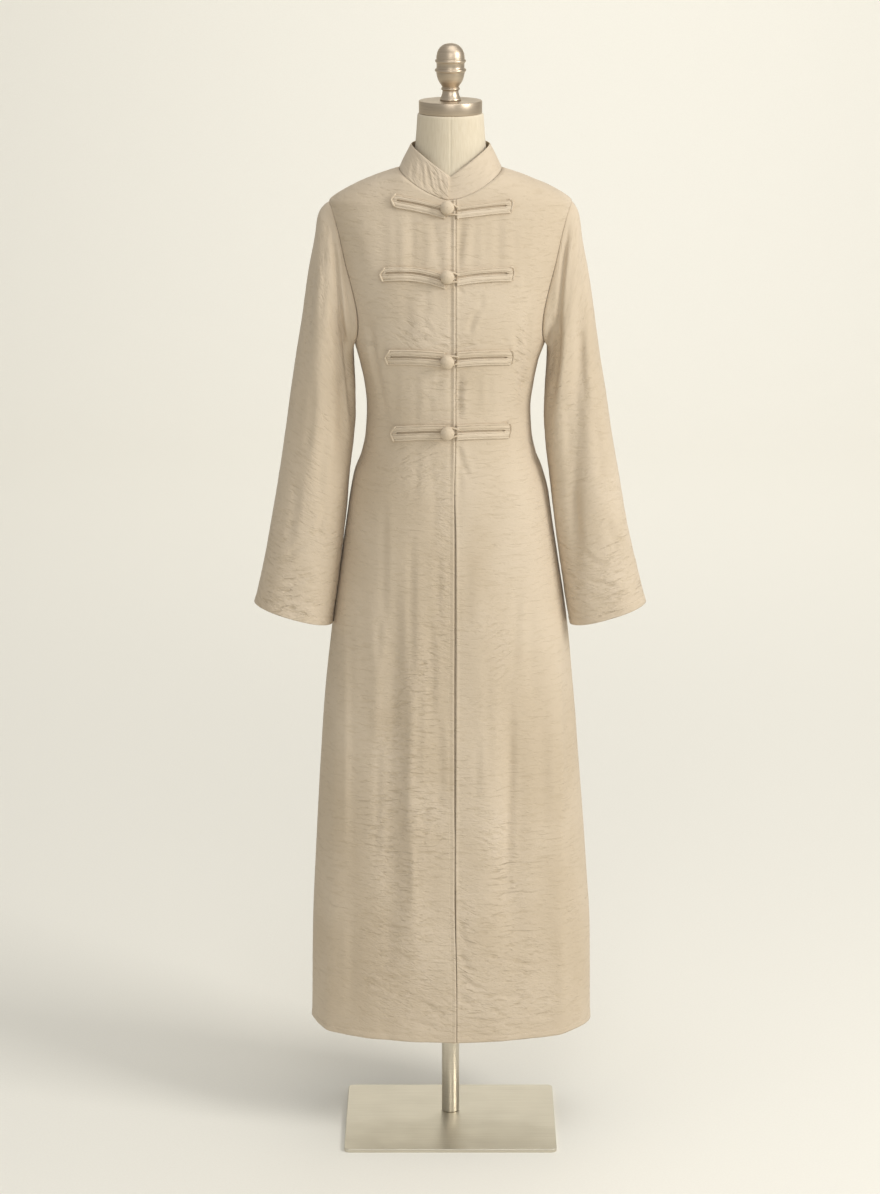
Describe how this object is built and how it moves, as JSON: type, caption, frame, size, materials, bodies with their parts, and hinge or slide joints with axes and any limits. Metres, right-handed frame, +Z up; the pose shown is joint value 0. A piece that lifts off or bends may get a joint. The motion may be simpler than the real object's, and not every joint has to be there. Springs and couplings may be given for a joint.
{
  "type": "abaya on a limbless dress form with a stand",
  "caption": "Front-closing crinkle-cloth abaya with a stand collar, frog closures and ball buttons, worn on a limbless dress form with a metal finial, pole and base plate.",
  "frame": {"origin": "on the underside of the base plate, under the pole's axis", "axes": "+Z up along the pole, -Y the garment's front, -X the wearer's right"},
  "size_m": [0.626, 0.2859, 1.783],
  "materials": {
    "crinkle_linen": "crinkled, matt",
    "frog_trim": "smooth, matt",
    "form_canvas": "plain weave, matt",
    "satin_nickel": "satin",
    "brushed_steel": "brushed"
  },
  "bodies": {
    "root": {"front_right": "crinkle_linen", "front_left": "crinkle_linen", "back": "crinkle_linen", "sleeve_right": "crinkle_linen", "sleeve_left": "crinkle_linen", "collar": "crinkle_linen", "frog_button_side_1": "frog_trim", "frog_loop_side_1": "frog_trim", "button_1": "frog_trim", "frog_button_side_2": "frog_trim", "frog_loop_side_2": "frog_trim", "button_2": "frog_trim", "frog_button_side_3": "frog_trim", "frog_loop_side_3": "frog_trim", "button_3": "frog_trim", "frog_button_side_4": "frog_trim", "frog_loop_side_4": "frog_trim", "button_4": "frog_trim", "dress_form": "form_canvas", "neck_cap": "satin_nickel", "finial": "satin_nickel", "pole": "brushed_steel", "base_plate": "brushed_steel"}
  },
  "joints": []
}
